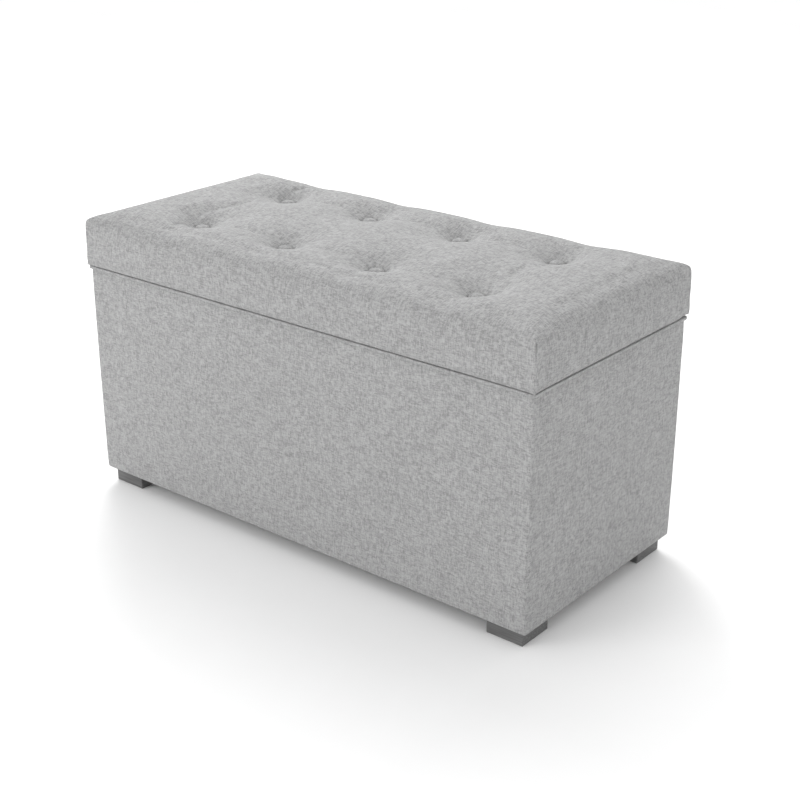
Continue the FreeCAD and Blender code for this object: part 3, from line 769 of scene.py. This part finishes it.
# %% Inflating a cloth
def inflate(obj, pressure, frames, limits):
    """Runs the cloth under pressure, then limits each point's travel; a limit of 0 holds it."""
    start = points_of(obj)
    held = obj.vertex_groups.new(name="held")
    held.add([int(index) for index in np.flatnonzero(limits <= 0)], 1.0, "REPLACE")
    modifier = obj.modifiers.new("cloth", "CLOTH")
    settings = modifier.settings
    settings.quality = 5
    settings.mass = 0.4
    settings.tension_stiffness = 25
    settings.compression_stiffness = 12
    settings.shear_stiffness = 10
    settings.bending_stiffness = 0.8
    settings.use_pressure = True
    settings.uniform_pressure_force = pressure
    settings.vertex_group_mass = held.name
    settings.effector_weights.gravity = 0
    modifier.collision_settings.use_collision = False
    modifier.point_cache.frame_start = 1
    modifier.point_cache.frame_end = frames
    for frame_number in range(1, frames + 1):
        scene.frame_set(frame_number)
    choose(obj)
    bpy.ops.object.modifier_apply(modifier=modifier.name)
    scene.frame_set(1)
    obj.vertex_groups.clear()
    travel = points_of(obj) - start
    length = np.linalg.norm(travel, axis=1)
    kept = np.minimum(1, limits / np.maximum(length, 1e-9))
    move_points(obj, start + travel * kept[:, None])
    print(f"travel before the cap: mean {length.mean() / MM:.1f}, most {length.max() / MM:.1f} mm")


# %% Inflating the cushion
def cushion_limits(points):
    """None at the board or a button, little at the corners and sides, most on the puffs."""
    x, y, z = points.T
    gap = tuft_gap(points)
    inside = np.minimum(lid_high.x - np.abs(x), lid_high.y - np.abs(y))
    corner = np.maximum(lid_high.x - np.abs(x), lid_high.y - np.abs(y))
    limits = 1.0 * MM + 1.2 * MM * ease(corner / (80 * MM)) + 2.4 * MM * ease(inside / (70 * MM))
    limits *= np.where(z > edge_top - edge_radius, 0.2 + 0.8 * ease((gap - 14 * MM) / (45 * MM)), 1)
    limits[z < crease_z + 3 * MM] = 0
    limits[(z > edge_top - edge_radius) & (gap < 14 * MM)] = 0
    return limits


inflate(cushion, 4.0, 20, cushion_limits(points_of(cushion)))
add_modifier(cushion, "SMOOTH", factor=0.5, iterations=1)
add_modifier(cushion, "SUBSURF", levels=1, render_levels=1)

# %% [markdown]
# ### Corner seams
# The cover is sewn from flaps at the four corners. The stitches draw the cloth into a thin groove
# between two small ridges, from the crease to the top of the corner, with a deeper tuck at the top
# where the fullness is folded in.

# %% Seating the buttons
def seat_buttons(obj):
    """Flattens the floor of each tuft, where the button sits."""
    points = points_of(obj)
    height = points[:, 2]
    share = ease((16 * MM - tuft_gap(points)) / (4 * MM)) * (height > button_low.z - 20 * MM)
    points[:, 2] = height + share * np.minimum(tuft_floor + 0.2 * MM - height, 0)
    move_points(obj, points)


seat_buttons(cushion)

# %% Sewing the corners
corner_reach = 9 * MM


def tighten_corners(obj):
    """Draws the upright corners out to a small radius, as the sharp edges were before."""
    points = points_of(obj)
    edge_x, edge_y = points[:, 0].max(), points[:, 1].max()
    gap_x = (edge_x - np.abs(points[:, 0])) / corner_reach
    gap_y = (edge_y - np.abs(points[:, 1])) / corner_reach
    pull = (1 - ease(gap_x / 2)) * (1 - ease(gap_y / 2))
    share = 1 - 0.62 * pull
    points[:, 0] = np.sign(points[:, 0]) * (edge_x - gap_x * share * corner_reach)
    points[:, 1] = np.sign(points[:, 1]) * (edge_y - gap_y * share * corner_reach)
    move_points(obj, points)


def refine_corners(obj):
    """Cuts the faces at the upright corners finer, so that they can hold a stitched groove."""
    edge_x, edge_y = points_of(obj)[:, :2].max(axis=0) - 11 * MM
    start_edit(obj)
    pick("FACE", lambda c, n: abs(c.x) > edge_x and abs(c.y) > edge_y)
    bpy.ops.mesh.subdivide(number_cuts=2)
    end_edit()


def sew_corners(obj):
    points = points_of(obj)
    x, y, z = points.T
    gap_x = points[:, 0].max() - np.abs(x)
    gap_y = points[:, 1].max() - np.abs(y)
    aside = (gap_x - gap_y) / math.sqrt(2)
    near = ease(1.6 - np.maximum(gap_x, gap_y) / (14 * MM))
    tuck = 1 + 2.2 * np.exp(-(((z - edge_top + 24 * MM) / (9 * MM)) ** 2))
    groove = 1.3 * MM * tuck * np.exp(-((aside / (1.3 * MM)) ** 2))
    ridge = 0.8 * MM * np.exp(-(((np.abs(aside) - 3.4 * MM) / (1.8 * MM)) ** 2))
    move = (ridge - groove) * near * ease((z - crease_z) / (4 * MM))
    points[:, 0] += np.sign(x) * move / math.sqrt(2)
    points[:, 1] += np.sign(y) * move / math.sqrt(2)
    move_points(obj, points)


tighten_corners(cushion)
refine_corners(cushion)
sew_corners(cushion)

# %% Finishing the cushion
def lay_cushion(place, normal):
    """The top as it is, and each flap folded out over the rounded edge."""
    x, y, z = place
    below = max(edge_top - z, 0)
    if abs(normal.x) > abs(normal.y):
        return round_edge(x, below, lid_high.x, edge_radius), y
    return x, round_edge(y, below, lid_high.y, edge_radius)


smooth(cushion, 60)
map_cloth(cushion, lay_cushion)
cushion.data.materials.append(cover_cloth)
print("cushion:", points_of(cushion).min(0).round(4), points_of(cushion).max(0).round(4))
print(triangles(cushion), "triangles")
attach(cushion, "lid")
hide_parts("lid_cover", "lid_batting", "lid_foam")

# %% [markdown]
# ## Cloth wrapped round upright walls
# The rest of the cloth goes round a rounded rectangle, over an edge and back down or under. Such a
# piece has the same section all the way round. So it starts as an upright tube, a block with
# rounded uprights and no ends, and the loop at its top is extruded, scaled and lowered from one
# corner of the section to the next until it is back where it began.

# %% Wrapped pieces
def add_wrapped(name, corner, section):
    """A closed piece through a section of (half length, half depth, height) places; the first two
    are the bottom and top of its outer face."""
    half_x, half_y, low = section[0]
    height = section[1][2]
    obj = add_block(name, (-half_x, -half_y, low), (half_x, half_y, height))
    start_edit(obj)
    pick("EDGE", lambda c, d: abs(d.z) > 0.9)
    bpy.ops.mesh.bevel(offset=corner, segments=5, profile=0.5)
    pick("FACE", lambda c, n: abs(n.z) > 0.9)
    bpy.ops.mesh.delete(type="FACE")
    pick("EDGE", lambda c, d: abs(c.z - height) < TINY)
    for next_x, next_y, next_z in section[2:] + section[:1]:
        rise = {"value": (0, 0, next_z - height)}
        bpy.ops.mesh.extrude_region_move(TRANSFORM_OT_translate=rise)
        scale = (next_x / half_x, next_y / half_y, 1)
        bpy.ops.transform.resize(value=scale, center_override=(0, 0, 0))
        half_x, half_y, height = next_x, next_y, next_z
    bpy.ops.mesh.select_all(action="SELECT")
    bpy.ops.mesh.remove_doubles(threshold=1e-5)
    bpy.ops.mesh.normals_make_consistent(inside=False)
    end_edit()
    return obj


# %% [markdown]
# ## The box's upholstery
# The box is wrapped in a thin foam sheet and then in cloth, pulled round the four sides, over the
# rim and a little way down inside, and tucked under the bottom edge. Both are one closed piece
# here, since the foam is never seen. Its section is: outside, rim, turn-in, and back along the
# boards.

# %% Upholstery round the boards
pad = box_high.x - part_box("box_padding")[1].x
board_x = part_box("right_side_panel")[1].x
board_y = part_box("back_panel")[1].y
inner_x = lining_high.x - cloth
inner_y = lining_high.y - cloth
turn_low = lining_high.z
rim_z = box_high.z
box_corner = 4 * MM
upholstery = add_wrapped(
    "box_upholstery",
    box_corner,
    [
        (box_high.x, box_high.y, box_low.z),
        (box_high.x, box_high.y, rim_z),
        (inner_x, inner_y, rim_z),
        (inner_x, inner_y, turn_low),
        (inner_x + cloth, inner_y + cloth, turn_low),
        (inner_x + cloth, inner_y + cloth, rim_z - cloth),
        (board_x, board_y, rim_z - cloth),
        (board_x, board_y, box_low.z + cloth),
        (inner_x, inner_y, box_low.z + cloth),
        (inner_x, inner_y, box_low.z),
    ],
)
print("boards at", round(board_x, 4), round(board_y, 4), "turn-in down to", round(turn_low, 4))

# %% Rolled rim and an even mesh
def cut_evenly(across, deep, tall=0, height=0):
    """Cuts every long edge along X and Y, and the uprights round one height, into equal lengths."""
    pick("EDGE", lambda c, d: abs(d.x) > 0.999 and abs(c.x) < TINY)
    bpy.ops.mesh.subdivide(number_cuts=across - 1)
    pick("EDGE", lambda c, d: abs(d.y) > 0.999 and abs(c.y) < TINY)
    bpy.ops.mesh.subdivide(number_cuts=deep - 1)
    if tall:
        pick("EDGE", lambda c, d: abs(d.z) > 0.999 and abs(c.z - height) < 20 * MM)
        bpy.ops.mesh.subdivide(number_cuts=tall - 1)


def on_outside(c):
    return abs(c.x) > box_high.x - 8 * MM or abs(c.y) > box_high.y - 8 * MM


start_edit(upholstery)
pick("EDGE", lambda c, d: abs(c.z - box_high.z) < TINY and on_outside(c))
bpy.ops.mesh.bevel(offset=3.5 * MM, segments=3, profile=0.5)
pick("EDGE", lambda c, d: abs(c.z - box_low.z) < TINY and on_outside(c))
bpy.ops.mesh.bevel(offset=2.5 * MM, segments=3, profile=0.5)
cut_evenly(60, 27, 24, (box_low.z + box_high.z) / 2)
end_edit()
print("upholstery:", triangles(upholstery), "triangles")

# %% Unevenness of pulled cloth
def uneven(points, size, seed):
    """Smooth noise from -1 to 1 at each place."""
    shift = Vector((seed, seed / 2, -seed))
    return np.array([noise.noise(Vector(point) / size + shift) for point in points])


def normals_of(obj):
    flat = np.empty(len(obj.data.vertices) * 3)
    obj.data.vertices.foreach_get("normal", flat)
    return flat.reshape(-1, 3)


def loosen_upholstery(obj):
    points = points_of(obj)
    height = np.minimum(points[:, 2] - box_low.z, box_high.z - points[:, 2])
    skin = pad - cloth
    outside = np.abs(points[:, 0]) > board_x + skin
    outside |= np.abs(points[:, 1]) > board_y + skin
    wave = 0.9 * MM + 0.6 * MM * uneven(points, 0.13, 3) + 0.25 * MM * uneven(points, 0.05, 8)
    move = wave * ease(height / (30 * MM)) * outside
    move_points(obj, points + normals_of(obj) * move[:, None])


loosen_upholstery(upholstery)

# %% Finishing the upholstery
def lay_upholstery(place, normal):
    """Round the four sides, with the seams at the corners, and straight through elsewhere."""
    x, y, z = place
    if abs(normal.z) > 0.75:
        return x, y
    if abs(normal.y) > abs(normal.x):
        return round_edge(x, box_high.y - abs(y), box_high.x, box_corner), z
    return round_edge(y, box_high.x - abs(x), box_high.y, box_corner) + 2, z


smooth(upholstery, 50)
map_cloth(upholstery, lay_upholstery)
upholstery.data.materials.append(cover_cloth)
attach(upholstery, "box")
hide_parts("box_cover", "box_padding")

# %% [markdown]
# ## The lid's lower edge
# Below the crease the lid's cover is drawn in, pulled round the edge of the board and stapled
# underneath. It is a flat strip of cloth, bent once round the board's lower edge.

# %% Cover strip round the lid board
edge_x = board_high.x + cloth
edge_y = board_high.y + cloth
strip_top = crease_z + 3 * MM
strip = add_wrapped(
    "lid_cover_edge",
    6 * MM,
    [
        (edge_x, edge_y, lid_low.z),
        (edge_x, edge_y, strip_top),
        (board_high.x, board_high.y, strip_top),
        (board_high.x, board_high.y, lid_low.z + cloth),
        (under_high.x, under_high.y, lid_low.z + cloth),
        (under_high.x, under_high.y, lid_low.z),
    ],
)
smooth(strip, 40)
map_cloth(strip, lay_box)
strip.data.materials.append(cover_cloth)
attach(strip, "lid")

# %% [markdown]
# ## The welt
# A padded lip is caught between the lid's cover and its board, and hangs just outside the box's
# rim, so that it hides the gap. It runs along the front and the two ends and stops just round the
# rear corners, clear of the hinges. Its section is an L: the soft lip, and a flat tape that is
# stapled under the board. It is wrapped round like the other strips, its outer edges are rounded,
# and then it is cut open at the rear.

# %% Welt
lip_x = welt_high.x + 0.6 * MM
lip_y = welt_high.y + 0.6 * MM
lip_low = lid_low.z - 5.0 * MM
lip_inside = 3.6 * MM
tape_thick = 0.5 * MM
tape_wide = 15 * MM
welt_end = lid_high.x - 27 * MM
welt = add_wrapped(
    "lid_welt_lip",
    7 * MM,
    [
        (lip_x, lip_y, lip_low),
        (lip_x, lip_y, lid_low.z),
        (lip_x - tape_wide, lip_y - tape_wide, lid_low.z),
        (lip_x - tape_wide, lip_y - tape_wide, lid_low.z - tape_thick),
        (lip_x - lip_inside, lip_y - lip_inside, lid_low.z - tape_thick),
        (lip_x - lip_inside, lip_y - lip_inside, lip_low),
    ],
)


def on_lip(c):
    return abs(c.x) > lip_x - 3 * MM or abs(c.y) > lip_y - 3 * MM


start_edit(welt)
pick("EDGE", lambda c, d: abs(c.z - lid_low.z) < TINY and on_lip(c))
bpy.ops.mesh.bevel(offset=1.3 * MM, segments=3, profile=0.5)
pick("EDGE", lambda c, d: abs(c.z - lip_low) < TINY and on_lip(c))
bpy.ops.mesh.bevel(offset=2.0 * MM, segments=4, profile=0.5)
for side in (-1, 1):
    bpy.ops.mesh.select_all(action="SELECT")
    bpy.ops.mesh.bisect(plane_co=(side * welt_end, 0, 0), plane_no=(1, 0, 0))
pick("FACE", lambda c, n: abs(c.x) < welt_end - 1e-5 and c.y > lip_y - 20 * MM)
bpy.ops.mesh.delete(type="FACE")
bpy.ops.mesh.select_all(action="SELECT")
bpy.ops.mesh.fill_holes(sides=0)
bpy.ops.mesh.select_all(action="SELECT")
bpy.ops.mesh.normals_make_consistent(inside=False)
cut_evenly(45, 21)
end_edit()

# %% Finishing the welt
points = points_of(welt)
loose = ease((lid_low.z - points[:, 2]) / (4 * MM))
points[:, 2] += 0.4 * MM * uneven(points * (1, 1, 0), 0.07, 5) * loose
move_points(welt, points)
smooth(welt, 50)
map_cloth(welt, lay_box)
welt.data.materials.append(cover_cloth)
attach(welt, "lid")
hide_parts("lid_welt")
print("welt:", triangles(welt), "triangles, lip", round(lip_low, 4), "to", round(lid_low.z, 4))

# %% [markdown]
# ## The buttons
# Each button is a shallow metal dome covered in the bench's own cloth. It starts as a sphere that
# is pressed flat, more below its rim than above. Where the cloth turns under the rim it is
# gathered, so the rim is crimped in small pleats. One is made and seven copies of it are moved.

# %% One button
button_z = button_low.z + 1.0 * MM
bpy.ops.object.select_all(action="DESELECT")
bpy.ops.mesh.primitive_uv_sphere_add(segments=48, ring_count=18, radius=button_radius)
button = bpy.context.object
button.name = "tuft_button_1"
start_edit(button)
bpy.ops.mesh.select_all(action="SELECT")
dome = (button_high.z - button_z) / button_radius
bpy.ops.transform.resize(value=(1, 1, dome), center_override=(0, 0, 0))
pick("FACE", lambda c, n: c.z < -0.1 * MM)
bpy.ops.transform.resize(value=(0.97, 0.97, 0.36), center_override=(0, 0, 0))
end_edit()
points = points_of(button)
angle = np.arctan2(points[:, 1], points[:, 0])
rim = ease((np.hypot(points[:, 0], points[:, 1]) - 9.5 * MM) / (2 * MM))
points[:, 2] += 0.22 * MM * rim * np.cos(angle * 16)
move_points(button, points)
smooth(button, 60)
print("button:", triangles(button), "triangles")

# %% Eight buttons
buttons = [button]
for number in range(2, 9):
    choose(button)
    bpy.ops.object.duplicate(linked=False)
    bpy.context.object.name = f"tuft_button_{number}"
    buttons.append(bpy.context.object)
for item, (x, y) in zip(buttons, tufts):
    choose(item)
    bpy.ops.transform.translate(value=(x, y, button_z))
    bpy.ops.object.transform_apply(location=True, rotation=False, scale=False)
    map_cloth(item, lay_box)
    item.data.materials.append(cover_cloth)
    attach(item, "lid")
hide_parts("tuft_buttons")
print(len(buttons), "buttons")

# %% [markdown]
# ## The storage lining
# The inside is lined with a charcoal needle-punched felt, glued to the boards and sewn to the
# cover's turn-in at the top. It is a tray with soft inner corners. It is not quite flat against
# the boards, least of all on the floor, but it is held flat where the stays' brackets are screwed
# through it. The tray starts as a block with its top taken away, and gets its thickness at the end.

# %% Lining tray
lining = add_block(
    "storage_lining", (-inner_x, -inner_y, lining_low.z + cloth), (inner_x, inner_y, lining_high.z)
)
start_edit(lining)
pick("FACE", lambda c, n: n.z > 0.9)
bpy.ops.mesh.delete(type="FACE")
pick("EDGE", lambda c, d: abs(d.z) > 0.9 or c.z < lining_low.z + 2 * cloth)
bpy.ops.mesh.bevel(offset=5 * MM, segments=3, profile=0.5)
cut_evenly(64, 28, 22, (lining_low.z + lining_high.z) / 2)
end_edit()
plate_low, plate_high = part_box("right_stay_box_bracket")


def loosen_lining(obj):
    points = points_of(obj)
    below_seam = ease((lining_high.z - points[:, 2]) / (40 * MM))
    past_y = np.maximum(plate_low.y - points[:, 1], points[:, 1] - plate_high.y)
    past_z = np.maximum(plate_low.z - points[:, 2], points[:, 2] - plate_high.z)
    past_plate = ease((np.maximum(past_y, past_z) - 6 * MM) / (40 * MM))
    past_plate = np.where(np.abs(points[:, 0]) > inner_x - 6 * MM, past_plate, 1)
    wave = 0.5 + 0.35 * uneven(points, 0.11, 2) + 0.3 * uneven(points, 0.04, 6)
    move = 1.6 * MM * np.clip(wave, 0, 1.2) * below_seam * past_plate
    move_points(obj, points - normals_of(obj) * move[:, None])


loosen_lining(lining)
add_modifier(lining, "SOLIDIFY", thickness=cloth * 0.9, offset=1)
smooth(lining, 50)
lining.data.materials.append(lining_felt)
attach(lining, "box")
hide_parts("box_lining")

# %% [markdown]
# ## The lid's lining and the dust cover
# Two more flat sheets are stapled from below: the felt that closes the lid, and a thin black
# non-woven cloth under the box. Each has its edge folded in once, so a band along the edge is
# twice as thick. Between its staples each hangs down a little, and the wide dust cover sags most.
# A thin block is inset at the fold, cut into an even grid and then lowered.

# %% Stapled sheets
def add_stapled_sheet(name, low, high, hem, droop):
    """A thin sheet that faces down; its hem stands a little below the rest."""
    thin = 0.6 * (high.z - low.z)
    obj = add_block(name, (low.x, low.y, low.z), (high.x, high.y, high.z))
    start_edit(obj)
    pick("FACE", lambda c, n: n.z < -0.9)
    bpy.ops.mesh.inset(thickness=hem, depth=0)
    bpy.ops.mesh.inset(thickness=1 * MM, depth=thin - (high.z - low.z))
    cut_evenly(60, 25)
    end_edit()
    points = points_of(obj)
    points[:, 2] -= droop(points)
    move_points(obj, points)
    smooth(obj, 40)
    return obj


# %% Lid lining
bracket_low, bracket_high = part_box("right_stay_lid_bracket")


def lid_droop(points):
    inside = np.minimum(under_high.x - np.abs(points[:, 0]), under_high.y - np.abs(points[:, 1]))
    beside = np.maximum(bracket_low.y - points[:, 1], points[:, 1] - bracket_high.y)
    beside = np.maximum(beside, bracket_low.x - np.abs(points[:, 0]))
    wave = 0.5 + 0.5 * uneven(points * (1, 1, 0), 0.12, 4)
    free = ease((inside - 14 * MM) / (50 * MM)) * ease((beside - 8 * MM) / (40 * MM))
    return 0.9 * MM * wave * free


lid_felt = add_stapled_sheet("lid_lining_felt", under_low, under_high, 13 * MM, lid_droop)
lid_felt.data.materials.append(lining_felt)
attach(lid_felt, "lid")
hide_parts("lid_lining")

# %% Dust cover
foot_low, foot_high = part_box("front_right_foot")


def dust_droop(points):
    x, y = np.abs(points[:, 0]), np.abs(points[:, 1])
    inside = np.minimum(dust_high.x - x, dust_high.y - y)
    past_foot = np.maximum(foot_low.x - x, -foot_high.y - y)
    sag = 3.0 * MM * ease((inside - 24 * MM) / (130 * MM))
    wave = 0.5 * MM * (1 + uneven(points * (1, 1, 0), 0.10, 7))
    wave *= ease((inside - 24 * MM) / (40 * MM))
    return (sag + wave) * ease((past_foot - 4 * MM) / (60 * MM))


dust_cloth = add_stapled_sheet("base_dust_cloth", dust_low, dust_high, 14 * MM, dust_droop)
dust_cloth.data.materials.append(dust_felt)
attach(dust_cloth, "box")
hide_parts("dust_cover")
